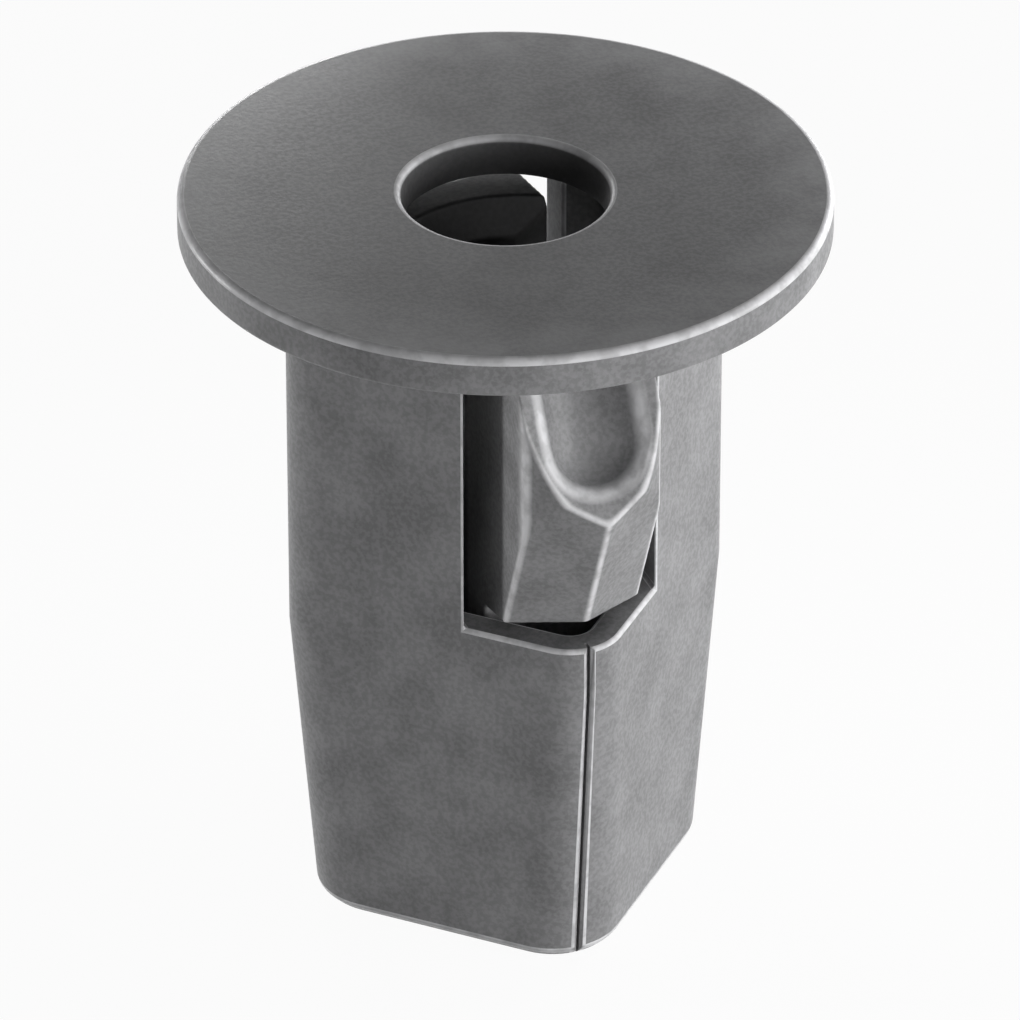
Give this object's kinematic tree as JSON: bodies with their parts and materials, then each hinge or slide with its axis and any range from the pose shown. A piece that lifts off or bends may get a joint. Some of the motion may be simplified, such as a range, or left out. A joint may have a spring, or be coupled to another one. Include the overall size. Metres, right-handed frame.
{
  "type": "screw grommet",
  "caption": "One-piece nylon screw grommet: round head, screw hole, hollow square shank with sprung claws in corner windows.",
  "frame": {"origin": "on the screw hole's axis, in the plane of the head's underside, which seats on the panel", "axes": "+Z along the screw hole's axis, out of the head; the square shank's diagonals lie along X and Y, with the claws and their windows on the -Y and +Y corners"},
  "size_m": [0.02, 0.02, 0.0244],
  "materials": {
    "nylon": "satin dark grey moulded nylon"
  },
  "bodies": {
    "root": {"grommet": "nylon"}
  },
  "joints": []
}
